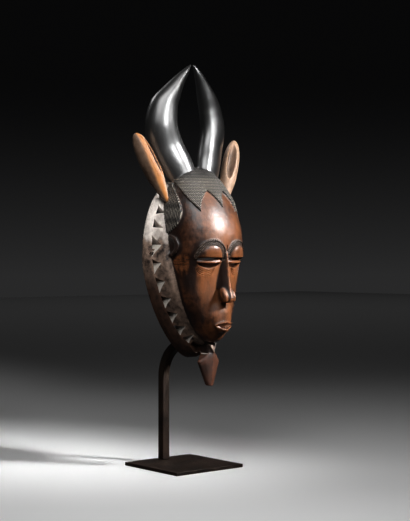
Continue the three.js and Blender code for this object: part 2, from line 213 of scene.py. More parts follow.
def pushed(form, faces, vector):
    """Pushes faces out by a vector, and gives all that this makes."""
    run = bmesh.ops.extrude_face_region(form, geom=faces)["geom"]
    far_verts = [item for item in run if isinstance(item, bmesh.types.BMVert)]
    bmesh.ops.translate(form, vec=vector, verts=far_verts)
    return run


def prism(outline, start, push):
    """A flat outline of places pushed through by a vector."""
    form = bmesh.new()
    face = form.faces.new([form.verts.new(Vector(place) + Vector(start)) for place in outline])
    pushed(form, [face], push)
    return faced_out(form)


def front_prism(outline, front, back):
    """An outline drawn as (across, up) in the front view, pushed through from front to back."""
    return prism([(x, 0, z) for x, z in outline], (0, front, 0), (0, back - front, 0))


def cheek_prism(outline, rear):
    """An outline drawn as (across, up) in the view from halfway round, pushed through the head."""
    form = prism([(x, 0, z) for x, z in outline], (0, -100, 0), (0, 100 + rear, 0))
    return moved(form, Matrix.Translation((0, HEAD_AXIS, 0)) @ Matrix.Rotation(-math.pi / 4, 4, "Z"))


def block(size, centre):
    form = bmesh.new()
    bmesh.ops.create_cube(form, size=1)
    return moved(form, Matrix.Translation(centre) @ Matrix.Diagonal((*size, 1)))


def lofted(rings):
    """A closed form through rings of places, each joined to the next, with both ends filled."""
    form = bmesh.new()
    loops = []
    for ring in rings:
        verts = [form.verts.new(place) for place in ring]
        loops.append([form.edges.new((verts[i], verts[i - 1])) for i in range(len(verts))])
    for start, end in zip(loops, loops[1:]):
        bmesh.ops.bridge_loops(form, edges=start + end)
    for edges in (loops[0], loops[-1]):
        bmesh.ops.contextual_create(form, geom=edges)
    return faced_out(form)


def strap(line, ring):
    """A ring of (across, out) places carried along a line of (place, across, out) frames."""
    return lofted([[place + across * a + out * o for a, o in ring] for place, across, out in line])


def bezier(start, *bends):
    """A flat outline's curved run: each bend is (control, end) of a quadratic curve."""
    line = [Vector(start).to_3d()]
    for control, end in bends:
        begin = line[-1]
        control = Vector(control).to_3d()
        end = Vector(end).to_3d()
        handles = (begin.lerp(control, 2 / 3), end.lerp(control, 2 / 3))
        line += geometry.interpolate_bezier(begin, *handles, end, 9)[1:]
    return [tuple(place[:2]) for place in line]


# Solids are Blender objects until the carving is done.


def solid(form, name="form"):
    """The form as an object, its faces turned outwards."""
    if form.calc_volume(signed=True) < 0:
        bmesh.ops.reverse_faces(form, faces=form.faces)
    mesh = bpy.data.meshes.new(name)
    form.to_mesh(mesh)
    form.free()
    item = bpy.data.objects.new(name, mesh)
    bpy.context.scene.collection.objects.link(item)
    return item


def baked(item):
    """The item's mesh with its modifiers worked in."""
    view = bpy.context.evaluated_depsgraph_get()
    mesh = bpy.data.meshes.new_from_object(item.evaluated_get(view))
    item.modifiers.clear()
    item.data = mesh
    return item


def combine(first, others, operation):
    for other in others:
        step = first.modifiers.new("combine", "BOOLEAN")
        step.operation = operation
        step.solver = "MANIFOLD"
        step.object = other
    baked(first)
    for other in others:
        bpy.data.objects.remove(other)
    return first


def join(*items):
    return combine(items[0], items[1:], "UNION")


def cut(item, *tools):
    return combine(item, tools, "DIFFERENCE")


def overlap(item, *others):
    return combine(item, others, "INTERSECT")


def mirrored(item):
    """A copy of the item on the other side of the middle plane."""
    form = bmesh.new()
    form.from_mesh(item.data)
    bmesh.ops.scale(form, vec=(-1, 1, 1), verts=form.verts)
    bmesh.ops.reverse_faces(form, faces=form.faces)
    return solid(form)


def merged(items):
    """One object that holds the items' meshes, which don't touch."""
    form = bmesh.new()
    for item in items:
        form.from_mesh(item.data)
        bpy.data.objects.remove(item)
    return solid(form)


def both_sides(item):
    return [item, mirrored(item)]


# The head.

HEAD_LINE = even(spline(HEAD_STATIONS, 24), 241)
HEAD_LEVELS = np.array([tuple(station) for station in reversed(HEAD_LINE)])


def widest_line(z):
    share = min(max((z - CHIN) / FACE_HEIGHT, 0), 1)
    return CHIN_FORWARD + (CROWN_BACK - CHIN_FORWARD) * math.sin(share * math.pi / 2)


def section_power(z):
    """How full the head is between its front and its sides: round below, fuller at the temples."""
    share = min(max((z - TEMPLE_RANGE[0]) / (TEMPLE_RANGE[1] - TEMPLE_RANGE[0]), 0), 1)
    return 2 + (TEMPLE_POWER - 2) * share * share * (3 - 2 * share)


def head_form(grow, around, along, open_back=False):
    """The head, grown by a distance or, for the hollow, shrunk by it and run out through the back."""
    middle = (CROWN + CHIN) / 2
    stretch = 1 + 2 * grow / FACE_HEIGHT

    def place(direction):
        level = math.acos(min(max(direction.z, -1), 1)) / math.pi
        station = sample(HEAD_LINE, level)
        turn = math.atan2(direction.y, direction.x)
        share = min(1, station.x / (2 * abs(grow) + 1))
        half = max(0, station.x + grow * share)
        widest = widest_line(station.z)
        front = max(0, widest - station.y + grow * share)
        back = -widest - BACK_PLANE if open_back else half * HEAD_BACK_RATIO
        is_front = direction.y < 0
        power = section_power(station.z) if is_front else 2
        across, inwards = (
            math.copysign(abs(value) ** (2 / power), value) for value in (math.cos(turn), math.sin(turn))
        )
        return Vector((
            half * across,
            widest + (front if is_front else back) * inwards,
            middle + (station.z - middle) * stretch,
        ))

    return mould(ball(around, along), place)


def head_surface(x, z):
    """How far forward the head's surface lies at a place in the front view."""
    half = np.interp(z, HEAD_LEVELS[:, 2], HEAD_LEVELS[:, 0])
    front = np.interp(z, HEAD_LEVELS[:, 2], HEAD_LEVELS[:, 1])
    widest = widest_line(z)
    power = section_power(z)
    return widest - (widest - front) * max(0, 1 - abs(x / half) ** power) ** (1 / power)


def head_out(x, z):
    """The head's outward direction at a place in the front view."""
    step = 0.5
    across = (head_surface(x + step, z) - head_surface(x - step, z)) / (2 * step)
    up = (head_surface(x, z + step) - head_surface(x, z - step)) / (2 * step)
    return Vector((across, -1, up)).normalized()


def framed(hits, lift=0.0):
    """Places with their outward directions made frames of (place, across, out) along their line."""
    frames = []
    for index, (place, out) in enumerate(hits):
        tangent = hits[min(index + 1, len(hits) - 1)][0] - hits[max(index - 1, 0)][0]
        frames.append((place + out * lift, out.cross(tangent).normalized(), out))
    return frames


def on_head(outline, lift=0.0):
    """Frames on the head along an outline in the front view."""
    places = [Vector((x, head_surface(x, z), z)) for x, z in outline]
    return framed([(place, head_out(place.x, place.z)) for place in places], lift)


def on_cheek(outline, tree):
    """Frames on a part of the head along an outline in the view from halfway round."""
    turn = Matrix.Rotation(-math.pi / 4, 3, "Z")
    axis = Vector((0, HEAD_AXIS, 0))
    inwards = turn @ Vector((0, 1, 0))
    hits = [tree.ray_cast(axis + turn @ Vector((x, -100, z)), inwards)[:2] for x, z in outline]
    return framed([hit for hit in hits if hit[0]])


# The collar.


def collar_reach(turn):
    across, up = abs(math.cos(turn)), math.sin(turn)
    power, height = (COLLAR_LOWER_POWER, COLLAR_DROP) if up < 0 else (COLLAR_UPPER_POWER, COLLAR_RISE)
    return ((across / COLLAR_HALF_WIDTH) ** power + (abs(up) / height) ** power) ** (-1 / power)


def collar_point(turn, share, inset=0):
    reach = (collar_reach(turn) - inset) * share
    return Vector((reach * math.cos(turn), COLLAR_CENTRE + reach * math.sin(turn)))


def collar_depth(turn, share):
    """How deep the collar is: shallow above, deeper below, its outer part furthest forward under the chin."""
    shelf = CHIN_SHELF * math.exp(-(((turn + math.pi / 2) / CHIN_SHELF_WIDTH) ** 2))
    return 0.78 - 0.22 * math.sin(turn) + shelf * share ** 3


def collar_form(profile, inset, steps):
    """A profile of (share of the outline, depth) turned round the collar's centre."""
    form = bmesh.new()
    verts = [form.verts.new((share, 0, depth)) for share, depth in profile]
    edges = [form.edges.new(pair) for pair in zip(verts, verts[1:])]
    bmesh.ops.spin(
        form, geom=verts + edges, cent=(0, 0, 0), axis=(0, 0, 1), angle=math.tau, steps=steps, use_merge=True
    )
    bmesh.ops.remove_doubles(form, verts=form.verts, dist=1e-5)

    def place(point):
        turn = math.atan2(point.y, point.x)
        share = math.hypot(point.x, point.y)
        flat = collar_point(turn, share, inset)
        return Vector((flat.x, -point.z * collar_depth(turn, share), flat.y))

    return mould(form, place)


def collar():
    run = spline([
        (0.985, 14, 0), (0.94, 22, 0), (COLLAR_RIDGE, 27.5, 0), (0.83, 37, 0), (0.74, 45, 0), (0.6, 47, 0),
    ], 6)
    return collar_form([(0, 4), (1, 4), *[(place.x, place.y) for place in run], (0, 47)], 0, 180)


def collar_hollow():
    run = spline([(1, 0, 0), (0.985, 9, 0), (0.9, 21, 0), (0.76, 34, 0), (0.6, 37, 0)], 5)
    return collar_form([(0, 0), *[(place.x, place.y) for place in run], (0, 38)], COLLAR_RIM, 120)


def collar_openings():
    """A row of saw-tooth openings: each a triangle with its long side outwards and its point to the face."""
    tools = []
    for *degrees, inner in OPENINGS:
        start, tip, end = map(math.radians, degrees)
        places = ((start, OPENING_OUTER), (end, OPENING_OUTER), (tip, inner))
        corners = [tuple(collar_point(turn, share)) for turn, share in places]
        tools += both_sides(solid(front_prism(corners, OPENING_DEPTH * collar_depth(tip, COLLAR_RIDGE), 5)))
    front = OPENING_DEPTH * collar_depth(-math.pi / 2, COLLAR_RIDGE)
    return tools + both_sides(solid(front_prism(LAST_OPENING, front, -30)))


def tie_holes():
    tools = []
    for z, radius in TIE_HOLES:
        form = bmesh.new()
        bmesh.ops.create_cone(
            form, cap_ends=True, segments=16, radius1=radius, radius2=radius, depth=24,
            matrix=Matrix.Translation((COLLAR_HALF_WIDTH - 6, -17, z)) @ Matrix.Rotation(math.pi / 2, 4, "Y"),
        )
        tools += both_sides(solid(form))
    return tools


# Hair, ears and the features of the face.

FRONT_HAIRLINE = [(-70, 290), (-27.6, 290)] + bezier(
    (-27.6, 298),
    ((-25.5, 316), (-10.4, 326)),
    ((-3, 320), (2.5, 306)),
    ((6, 320), (13, 326)),
    ((25.5, 316), (27.6, 298)),
) + [(27.6, 290), (70, 290), (70, 370), (-70, 370)]
SIDE_HAIRLINE = [(-80, 358), (-46, 356)] + bezier(
    (-36, 345.5),
    ((-30, 337), (-14, 320)),
    ((-4, 310), (4.5, 302.5)),
    ((10, 295), (14, 287)),
) + [(100, 287), (100, 372), (-80, 372)]
LOCK_EDGE = bezier(
    (-39.5, 343),
    ((-31.5, 336), (-26.5, 326)),
    ((-16.7, 306), (-17.7, 297)),
    ((-19.7, 287), (-33, 277)),
)
TEMPLE_LOCK = [(-70, 344)] + LOCK_EDGE + [(-70, 277)]
STRAND_SPACING = 2.9
STRANDS = 6


def hair_cap():
    return overlap(
        solid(head_form(HAIR_RISE, 120, 80)),
        solid(front_prism(FRONT_HAIRLINE, -100, 20)),
        *both_sides(solid(cheek_prism(SIDE_HAIRLINE, 100))),
    )


def temple_locks():
    """A leaf of hair on each temple with a raised edge."""
    lock = overlap(solid(head_form(HAIR_RISE, 120, 80)), solid(cheek_prism(TEMPLE_LOCK, 0)))
    edge = on_cheek([(u - 1.1, z) for u, z in LOCK_EDGE if 282 < z < 338], tree_of([lock]))
    rim = solid(strap(edge, [(-1, -1), (-1, 0.5), (-0.5, 1), (0.5, 1), (1, 0.5), (1, -1)]))
    return both_sides(lock) + both_sides(rim)


def strand_lines(tree):
    """Lines cut down the temple locks, and one across the crown behind the fringe."""
    tools = []
    for index in range(1, STRANDS + 1):
        outline = [(u - 0.6 - index * STRAND_SPACING, z) for u, z in LOCK_EDGE if 284 < z < 342 - 1.2 * index]
        tools += both_sides(groove(on_cheek(outline, tree), 0.55, 0.8))
    fringe = [(x, 342 - x * x / 120) for x in np.linspace(-25, 25, 31)]
    return tools + [groove(on_head(fringe, HAIR_RISE), 0.6, 0.8)]


def small_ears():
    turns = np.linspace(-math.pi / 2, math.pi / 2, 25)
    outline = [(-33 + 12.5 * math.cos(turn), 262 + 12.5 * math.sin(turn)) for turn in turns]
    ear = overlap(solid(head_form(3.2, 120, 80)), solid(cheek_prism(outline, 0)))
    cup = solid(ellipsoid((-50, -36, 262), (4.5, 9, 9.5)))
    return both_sides(cut(ear, cup))


def tapered(frames, widths):
    return [(place, across * width, out) for (place, across, out), width in zip(frames, widths)]


def dome(centre, half_width, half_height, rise, sink=3, power=2, soft=False):
    """A pad on the head's surface with an oval outline, domed by the rise and let in by the sink."""

    def place(point):
        x, z = centre[0] + point.x * half_width, centre[1] + point.y * half_height
        reach = min(1, math.hypot(point.x, point.y))
        swell = (1 - reach ** 3) ** 2 if soft else (1 - reach ** power) ** (1 / power)
        lift = rise * swell if point.z > 0 else -sink
        return Vector((x, head_surface(x, z), z)) + head_out(x, z) * lift

    return mould(ball(48, 24), place)


def eye_sockets():
    return both_sides(solid(dome((EYE_SPACING, EYE_LINE - 1.5), 14, 10.5, 4, 4)))


def eyelids():
    """A full upper lid over an eyeball, and a lower lid that is a bar under the slit."""
    upper = solid(dome((EYE_SPACING, EYE_LINE - 1), EYE_HALF_WIDTH, 15.6, 5, power=2.4))
    cut(upper, solid(block((60, 80, 40), (EYE_SPACING, -60, EYE_LINE - 19.5))))
    shares = np.linspace(-1, 1, 25)
    bulges = [math.sqrt(max(0, 1 - (share * 0.93) ** 2)) for share in shares]
    outline = [
        (EYE_SPACING + share * EYE_HALF_WIDTH, EYE_LINE - 3.7 - 0.9 * bulge)
        for share, bulge in zip(shares, bulges)
    ]
    line = [
        (place + out * (1.9 * bulge - 1.2), across, out)
        for (place, across, out), bulge in zip(on_head(outline), bulges)
    ]
    ring = [(1.3 * math.cos(turn), 1.9 * math.sin(turn)) for turn in np.linspace(0, math.tau, 13)[:-1]]
    lower = solid(strap(line, ring))
    eyeball = solid(dome((EYE_SPACING, EYE_LINE - 2), 12.2, 4.6, 0.6))
    return both_sides(upper) + both_sides(lower) + both_sides(eyeball)


def under_lids():
    """The sharp hollow between the lower lid and the cheek."""
    hollow = solid(dome((EYE_SPACING, EYE_LINE - 5), 13.2, 6.6, 3, 4.4))
    return both_sides(cut(hollow, solid(block((60, 80, 40), (EYE_SPACING, -60, EYE_LINE + 13.6)))))


def eye_slits():
    reach = EYE_HALF_WIDTH * 0.9
    left, right, level = EYE_SPACING - reach, EYE_SPACING + reach, EYE_LINE - 1
    lens = bezier(
        (left, level),
        ((EYE_SPACING, level - 2.8), (right, level)),
        ((EYE_SPACING, level + 2.8), (left, level)),
    )
    return both_sides(solid(front_prism(lens[:-1], -100, -45)))


def brow_frames():
    """Frames along the brow, from beside the nose over the eye to the temple, widest at the top."""
    shares = np.linspace(0, 1, BROW_STEPS)
    turns = [(1.05 - 1.07 * share) * math.pi for share in shares]
    line = [
        (EYE_SPACING - 0.6 + BROW_HALF_WIDTH * math.cos(turn), EYE_LINE + BROW_HEIGHT * math.sin(turn))
        for turn in turns
    ]
    return tapered(on_head(line), [0.6 + 0.43 * math.sin(share * math.pi) ** 0.8 for share in shares])


def brows():
    ring = [(-3.2, -2), (-3.2, 1.2), (-2.8, 1.7), (2.8, 1.7), (3.2, 1.2), (3.2, -2)]
    return both_sides(solid(strap(brow_frames(), ring)))


def brow_troughs():
    """Sinks each brow's middle between two narrow rims."""
    ring = [(-2, 3.5), (-2, 0.9), (-1.6, 0.5), (1.6, 0.5), (2, 0.9), (2, 3.5)]
    return both_sides(solid(strap(brow_frames()[1:-1], ring)))


def brow_ticks():
    """Short strokes cut across each brow."""
    tools = []
    for place, across, out in brow_frames()[3:-2:2]:
        along = across.cross(out).normalized()
        frames = [(place + across * share + along * 0.3 * share, along, out) for share in (-3.3, 0, 3.3)]
        tools += both_sides(solid(strap(frames, [(-0.4, 2.5), (0.4, 2.5), (0.12, 0.1), (-0.12, 0.1)])))
    return tools


def groove(frames, half, depth):
    """A cutter with a V section along a line of frames."""
    ring = [(-half, 0.4), (half, 0.4), (0, -depth)]
    return solid(strap(frames, ring))


def scar_lines():
    """Arcs cut under each eye, short strokes at the temples and one between the brows."""
    tools = []
    for width, depth in ((7.4, 4.2), (8.4, 6.4), (9.3, 8.6), (10.2, 10.8)):
        turns = np.linspace(math.radians(190), math.radians(350), 19)
        arc = [(22.3 + width * math.cos(turn), EYE_LINE - 9.6 + depth * math.sin(turn)) for turn in turns]
        tools += both_sides(groove(on_head(arc), 0.55, 0.9))
    for index in range(3):
        z = EYE_LINE - 1.5 - 3 * index
        stroke = [(EYE_SPACING + BROW_HALF_WIDTH + x, z) for x in np.linspace(4, 11.5, 9)]
        tools += both_sides(groove(on_head(stroke), 0.55, 0.9))
    middle = [(0.4, EYE_LINE + height) for height in np.linspace(2.5, 15, 9)]
    return tools + [groove(on_head(middle), 0.9, 1.6)]


def nose():
    """A long narrow ridge, sections given as (height, front, half top, half root), with two wings."""
    sections = [
        (EYE_LINE + 8, -79.3, 0.8, 3),
        (EYE_LINE + 3, -80.6, 1.3, 5),
        (EYE_LINE - 3, -81.6, 1.5, 6.5),
        (EYE_LINE - 12, -82.7, 1.7, 7.5),
        (EYE_LINE - 24, -84, 1.9, 8.5),
        (NOSE_BASE + 15, -86, 2.2, 8.5),
        (NOSE_BASE + 8, -88, 2.6, 8),
        (NOSE_BASE + 3.5, -88.8, 2.7, 7.5),
        (NOSE_BASE, -87, 2.4, 6.5),
    ]
    line = spline([(z, front, top) for z, front, top, _ in sections], 6)
    roots = spline([(z, 0, root) for z, _, _, root in sections], 6)
    rings = []
    for (z, front, top), (_, _, root) in zip(line, roots):
        half = [(root, front + 14), (root * 0.62, front + 7), (top, front + 1.8), (top * 0.4, front + 0.2)]
        rings.append([(x, y, z) for x, y in [(-x, y) for x, y in half] + half[::-1]])
    wing = ellipsoid((5.8, -80, NOSE_BASE + 8.6), (3.6, 5.5, 9.2), turn=(math.radians(-30), 0, 0))
    return [solid(lofted(rings))] + both_sides(solid(wing))


def mouth():
    """Pursed lips on a soft muzzle: the upper one sharp-edged with two peaks, the lower one a V."""
    muzzle = solid(dome((0, MOUTH_LINE + 9), 21, 23, 4.6, soft=True))
    upper = hull([
        (3.4, -80, 5.2), (8.8, -77.6, 3.8), (12.4, -73.4, 1.6),
        (0, -73.4, -1.2), (6, -72.8, -0.4), (4, -66, 5.6),
        (10, -62, 3), (0, -60, 0),
    ], MOUTH_LINE)
    lower = hull([
        (0, -76.2, -2.2), (5, -75.6, -0.9),
        (0, -79, -4), (5, -77.6, -2.7), (12, -73, 0.8),
        (0, -75, -7.4), (6, -73.5, -6.4), (9.5, -70.5, -3.2),
        (0, -60, -7), (8, -60, -2),
    ], MOUTH_LINE)
    return [muzzle, upper, lower]


def mouth_opening():
    """The slit between the lips and the notch in the middle of the upper one."""
    lens = [(-10.4, 1.5), (0, -3), (10.4, 1.5), (5, 0.4), (0, -1), (-5, 0.4)]
    slit = front_prism([(x, MOUTH_LINE + up) for x, up in lens], -90, -68)
    out = Vector((0, -1, 0.4)).normalized()
    route = ((-79.5, 6.5), (-78, 4.5), (-76, -0.8))
    frames = [(Vector((0.3, y, MOUTH_LINE + up)), Vector((1, 0, 0)), out) for y, up in route]
    notch = strap(frames, [(-1.6, 1.5), (1.6, 1.5), (0, -1.1)])
    return [solid(slit), solid(notch)]


# Horns, animal ears and beard.


def horn():
    """An oval horn that swings outwards and back in, its tip close to the other's."""
    line = spline(HORN_LINE, 12)
    girth = spline([(*half_size, index) for index, half_size in enumerate(HORN_HALF_SIZES)], 12)
    form = bmesh.new()
    bmesh.ops.create_cone(form, cap_ends=True, segments=64, radius1=1, radius2=1, depth=1)
    upright = [edge for edge in form.edges if abs(edge.verts[0].co.z - edge.verts[1].co.z) > 0.5]
    bmesh.ops.subdivide_edges(form, edges=upright, cuts=95, use_grid_fill=True)

    def place(point):
        along = point.z + 0.5
        tangent = (sample(line, along + 0.01) - sample(line, along - 0.01)).normalized()
        outwards = Vector((math.cos(HORN_TWIST), math.sin(HORN_TWIST), 0))
        across = (outwards - tangent * outwards.dot(tangent)).normalized()
        forward = tangent.cross(across)
        size = sample(girth, along)
        return sample(line, along) + across * point.x * size.x + forward * point.y * size.y

    return both_sides(solid(mould(form, place)))


def animal_ear():
    """A leaf-shaped ear with a narrow root, hollowed at the front."""
    axis = EAR_TIP - EAR_ROOT
    length = axis.length
    up = axis.normalized()
    facing = Vector((-math.sin(EAR_TURN), -math.cos(EAR_TURN), 0))
    facing = (facing - up * facing.dot(up)).normalized()
    placed = Matrix((up.cross(facing), -facing, up)).transposed().to_4x4()
    placed.translation = EAR_ROOT

    def leaf_place(p):
        full = (0.9 + 0.16 * p.z) * (1 - 0.4 * max(0, -0.25 - p.z))
        return Vector((p.x * EAR_HALF_WIDTH * full, p.y * EAR_HALF_DEPTH * full, (p.z + 1) * length / 2))

    leaf = mould(ball(48, 48), leaf_place)
    scoop = ball(32, 32)
    bmesh.ops.scale(scoop, vec=(5.2, 11, length * 0.3), verts=scoop.verts)
    bmesh.ops.translate(scoop, vec=(-3, -EAR_HALF_DEPTH, length * 0.64), verts=scoop.verts)
    return both_sides(cut(solid(moved(leaf, placed)), solid(moved(scoop, placed))))


def hull(corners, level=0):
    """The solid wrapped round corners above a level and their mirrored places."""
    form = bmesh.new()
    for x, y, z in corners:
        for side in (x, -x) if x else (0,):
            form.verts.new((side, y, z + level))
    bmesh.ops.convex_hull(form, input=form.verts)
    bmesh.ops.delete(form, geom=[vert for vert in form.verts if not vert.link_faces], context="VERTS")
    return solid(faced_out(form))


def beard():
    """A faceted point with a ridge down its front, on a narrow neck, and the collar's tooth above it."""
    neck = hull([
        (BEARD_NECK, -36, 150), (BEARD_NECK, -50, 148), (BEARD_NECK, -36, 130), (BEARD_NECK, -51, 130),
        (3.5, -53.5, 147), (0, -55.5, 146), (0, -55, 132),
    ])
    body = hull([
        (BEARD_NECK, -38, 137.5), (BEARD_NECK, -53, 137.5), (15.5, -44, 128), (15, -47.5, 127.5),
        (9, -52.5, 130), (4, -45, 100.5), (5, -48, 100), (3, -51, 100), (0, -55.2, 136), (0, -55, 131),
        (0, -52, 99.5),
    ])
    tooth = hull([(6, -50, 150), (5, -54.5, 147.5), (0, -57, 138), (0, -50, 138)])
    return [neck, body], [tooth]


# The carving.


def tree_of(items):
    form = bmesh.new()
    for item in items:
        form.from_mesh(item.data)
    tree = BVHTree.FromBMesh(form)
    form.free()
    return tree


def carve():
    """The mask as one solid, its crisp cuts' tools, and search trees of its parts and lower openings."""
    behind = solid(block((300, 60, 260), (0, BACK_PLANE + 30, 245)))
    above = solid(block((300, 200, 60), (0, 0, CEILING + 30)))
    head = cut(solid(head_form(0, 160, 120)), *eye_sockets())
    dish = solid(collar())
    cap = hair_cap()
    locks = temple_locks()
    lobes = small_ears()
    features = eyelids() + nose() + mouth()
    bands = brows()
    troughs = brow_troughs()
    horns = horn()
    leaves = animal_ear()
    tuft, tooth = beard()
    hollow = join(solid(head_form(-WALL, 80, 60, True)), solid(collar_hollow()))
    cut(hollow, above)
    openings = collar_openings()
    zones = {
        "face": tree_of([head, *features]),
        "lobe": tree_of(lobes),
        "collar": tree_of([dish, *tooth]),
        "hair": tree_of([cap, *locks]),
        "brow": tree_of([*bands, *troughs]),
        "horn": tree_of(horns),
        "leaf": tree_of(leaves),
        "beard": tree_of(tuft),
        "hollow": tree_of([hollow]),
    }
    # Only the walls of the openings below the top two on each side get the pale marks with painted light.
    cutters = tree_of(openings[4:])
    strands = strand_lines(tree_of([cap, *locks]))
    shell = cut(join(head, dish, cap, *locks, *lobes), behind)
    join(shell, *features, *bands, *tuft, *tooth, *horns, *leaves)
    cut(shell, hollow)
    lines = openings + eye_slits() + tie_holes() + scar_lines() + strands
    crisp = [merged(tools) for tools in (lines, troughs, under_lids(), brow_ticks())]
    return shell, crisp + mouth_opening(), zones, cutters


def worked(item, crisp_tools):
    """The carving with every meeting softened as by hand, its plain faces made fewer, and crisp cuts."""
    remesh = item.modifiers.new("knife", "REMESH")
    remesh.mode = "VOXEL"
    remesh.voxel_size = CARVING_GRAIN
    rub = item.modifiers.new("rub", "SMOOTH")
    rub.factor = 0.5
    rub.iterations = 2
    baked(item)
    fewer = item.modifiers.new("fewer", "DECIMATE")
    fewer.ratio = min(1, CARVING_TRIANGLES / (2 * len(item.data.polygons)))
    baked(item)
    return cut(item, *crisp_tools)


# Each zone's dark and light colour, roughness and polish, and how much nearer than it is a thin one counts.
ZONES = {
    "face": ((0.013, 0.005, 0.003), (0.25, 0.082, 0.026), 0.38, 0.1),
    # The small ears' near-black colours are painted shade.
    "lobe": ((0.008, 0.004, 0.003), (0.04, 0.02, 0.013), 0.45, 0.2),
    # The collar's light colour is partly painted light.
    "collar": ((0.02, 0.01, 0.007), (0.4, 0.27, 0.2), 0.6, 0.02),
    "hair": ((0.002, 0.0018, 0.0016), (0.012, 0.01, 0.009), 0.6, 0),
    "brow": ((0.005, 0.003, 0.002), (0.06, 0.03, 0.018), 0.5, 0),
    "horn": ((0.003, 0.003, 0.003), (0.009, 0.0088, 0.0085), 0.36, 1.0),
    "leaf": ((0.03, 0.012, 0.006), (0.52, 0.33, 0.22), 0.45, 0.05),
    "beard": ((0.02, 0.009, 0.006), (0.085, 0.028, 0.013), 0.5, 0.05),
    "hollow": ((0.006, 0.004, 0.003), (0.035, 0.023, 0.016), 0.8, 0),
}
ZONE_BIAS = {"brow": 0.5, "hair": 0.4, "lobe": 0.3, "horn": 0.2, "leaf": 0.2}
# Collar colours: the pale pair is partly painted light, the dark pair partly painted shade.
PALE_COLLAR = np.array(((0.5, 0.41, 0.35), (0.94, 0.86, 0.79)))
DARK_COLLAR = np.array(((0.008, 0.005, 0.004), (0.1, 0.045, 0.026)))
ORANGE_LEAF = np.array(((0.12, 0.04, 0.012), (0.52, 0.2, 0.055)))
# Height above which the collar is paler, partly as painted light.
PALE_LEVEL = 268
TEMPLE_SIDE = 37
RECESS_REACH = 14


def smooth_step(value, low, high):
    share = np.clip((value - low) / (high - low), 0, 1)
    return share * share * (3 - 2 * share)


def edge_links(mesh):
    """The pairs of vertices that edges join, and how many neighbours each vertex has."""
    pairs = np.empty(len(mesh.edges) * 2, dtype=np.int64)
    mesh.edges.foreach_get("vertices", pairs)
    pairs = pairs.reshape(-1, 2)
    return pairs, np.maximum(1, np.bincount(pairs.ravel(), minlength=len(mesh.vertices)))


def neighbour_mean(values, links, times):
    """Each vertex's mean over its neighbours, taken a number of times."""
    pairs, counts = links
    for _ in range(times):
        total = np.zeros_like(values)
        for start, end in (pairs.T, pairs.T[::-1]):
            for column in range(values.shape[1]):
                total[:, column] += np.bincount(start, values[end, column], len(values))
        values = total / counts[:, None]
    return values


def proud_marks(places, normals, links):
    """How far each vertex stands out from its surroundings."""
    out = ((places - neighbour_mean(places, links, 6)) * normals).sum(1)
    return neighbour_mean(out[:, None], links, 2)[:, 0]


def shut_marks(mesh, places, normals, links):
    """How shut in each vertex is, by a fan of short rays round its normal."""
    form = bmesh.new()
    form.from_mesh(mesh)
    tree = BVHTree.FromBMesh(form)
    form.free()
    turns = np.linspace(0, math.tau, 8)[:-1]
    fan = [Vector((0, 0, 1))]
    fan += [Vector((math.cos(turn) * 0.75, math.sin(turn) * 0.75, 0.66)) for turn in turns]
    shut = np.zeros((len(places), 1))
    for index, (place, normal) in enumerate(zip(places, normals)):
        out = Vector(normal)
        spread = out.to_track_quat("Z", "Y").to_matrix()
        start = Vector(place) + out * 0.25
        for ray in fan:
            hit = tree.ray_cast(start, spread @ ray, RECESS_REACH)[3]
            if hit is not None:
                shut[index] += 1 - hit / RECESS_REACH
    return neighbour_mean(shut / len(fan), links, 2)[:, 0]


def cut_faces(mesh, tree):
    """Marks the faces left by the cutters that look up along the collar: bare wood with painted light."""
    marks = []
    for polygon in mesh.polygons:
        centre = polygon.center
        normal, distance = tree.find_nearest(centre, 0.2)[1::2]
        near = distance is not None and distance < 0.02 and abs(normal.dot(polygon.normal)) > 0.995
        turn = math.atan2(centre.z - COLLAR_CENTRE, centre.x)
        upward = Vector((-math.sin(turn), 0, math.cos(turn))) * math.copysign(1, centre.x)
        at_beard = BEARD_JOIN[0] < centre.z < BEARD_JOIN[1]
        marks.append(float(near and polygon.normal.dot(upward) > 0.05 and not at_beard))
    return np.array(marks)


def nearest_zones(places, trees):
    """Each place's zone: the part whose surface is nearest, with thin parts a little favoured."""
    reach = np.full((len(ZONES), len(places)), 50.0)
    for row, name in enumerate(ZONES):
        find = trees[name].find_nearest
        for index, place in enumerate(places):
            near = find(Vector(place), 3)[3]
            if near is not None:
                reach[row, index] = near
        reach[row] -= ZONE_BIAS.get(name, 0)
    return reach.argmin(0)


def stain_and_light_collar(darks, lights, places, on_collar):
    """Pales the collar above a ragged line and darkens it below, most at its rim: stain with painted light
    and shade.
    """
    x, y, z = places.T
    turns = np.arctan2(z - COLLAR_CENTRE, x)
    shares = np.hypot(x, z - COLLAR_CENTRE) / np.array([collar_reach(turn) for turn in turns])
    ragged = z + 2.5 * np.sin(x * 0.6) + 1.5 * np.sin(y * 0.9 + x * 0.3)
    # Paler above the line: stain and painted light.
    bleach_and_light = smooth_step(ragged, PALE_LEVEL - 3, PALE_LEVEL + 3) * on_collar
    # Darker below, most at the rim: dark wood and painted shade.
    soil_and_shade = smooth_step(-z, -252, -205) * (0.2 + 0.8 * smooth_step(shares, 0.86, 0.93)) * on_collar
    for colours, pale, dark in zip((darks, lights), PALE_COLLAR, DARK_COLLAR):
        colours += (pale - colours) * bleach_and_light[:, None]
        colours += (dark - colours) * soil_and_shade[:, None]


def stain_and_shade_near_leaf(darks, lights, outward, on_leaf):
    """Gives the upright ear on the -X side its orange band, and painted shade on its outer side."""
    band = smooth_step(outward, -0.3, 0.1) * smooth_step(-outward, -0.8, -0.5) * on_leaf
    for colours, orange in zip((darks, lights), ORANGE_LEAF):
        colours += (orange - colours) * band[:, None]
    # Painted shade: this ear's outer side is darkened.
    lights *= (1 - 0.5 * smooth_step(outward, 0.5, 0.75) * on_leaf)[:, None]


